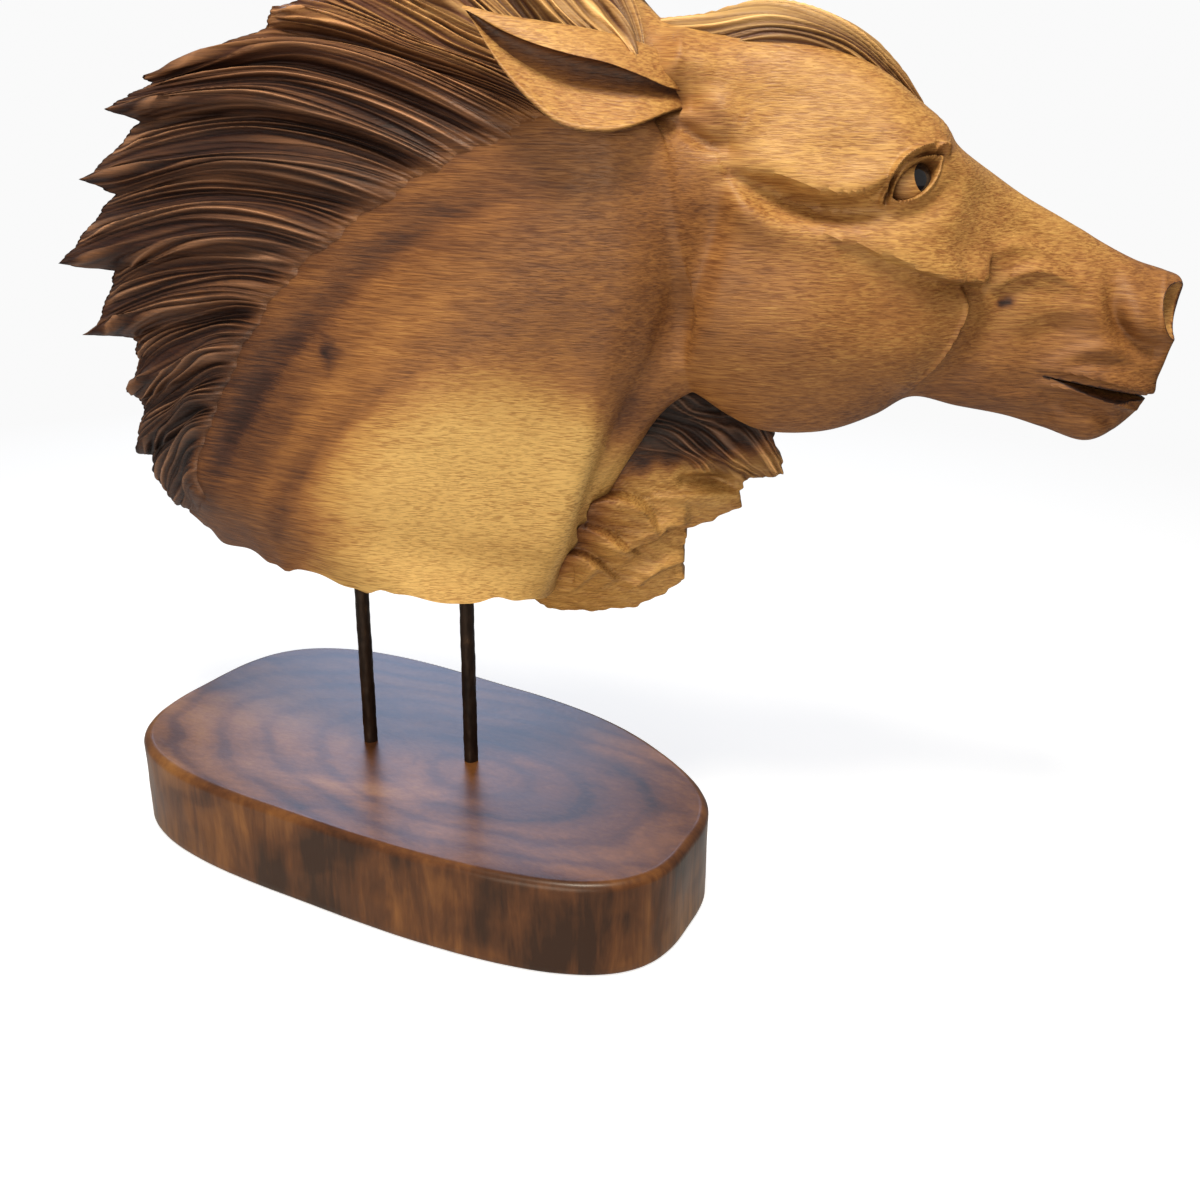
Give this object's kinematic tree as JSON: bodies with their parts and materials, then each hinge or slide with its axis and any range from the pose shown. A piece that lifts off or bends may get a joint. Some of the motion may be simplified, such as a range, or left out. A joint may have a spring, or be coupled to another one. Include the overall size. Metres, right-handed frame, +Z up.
{
  "type": "carved wooden horse head sculpture on a stand",
  "caption": "Wind-blown horse head carved from one block of brown hardwood, held up by steel rods on an oval slab of the same wood.",
  "frame": {"origin": "middle of the slab's underside", "axes": "+X along the slab towards the muzzle's end, +Y across the slab to the animal's left, +Z up"},
  "size_m": [0.5233, 0.2342, 0.45],
  "materials": {
    "carved_wood": "sanded and oiled, satin, with coarse dark pores",
    "slab_wood": "lacquered, glossy",
    "rod_steel": "dark, tarnished"
  },
  "bodies": {
    "root": {"base": "slab_wood", "horse_head": "carved_wood", "rod_front": "rod_steel", "rod_rear": "rod_steel"}
  },
  "joints": []
}
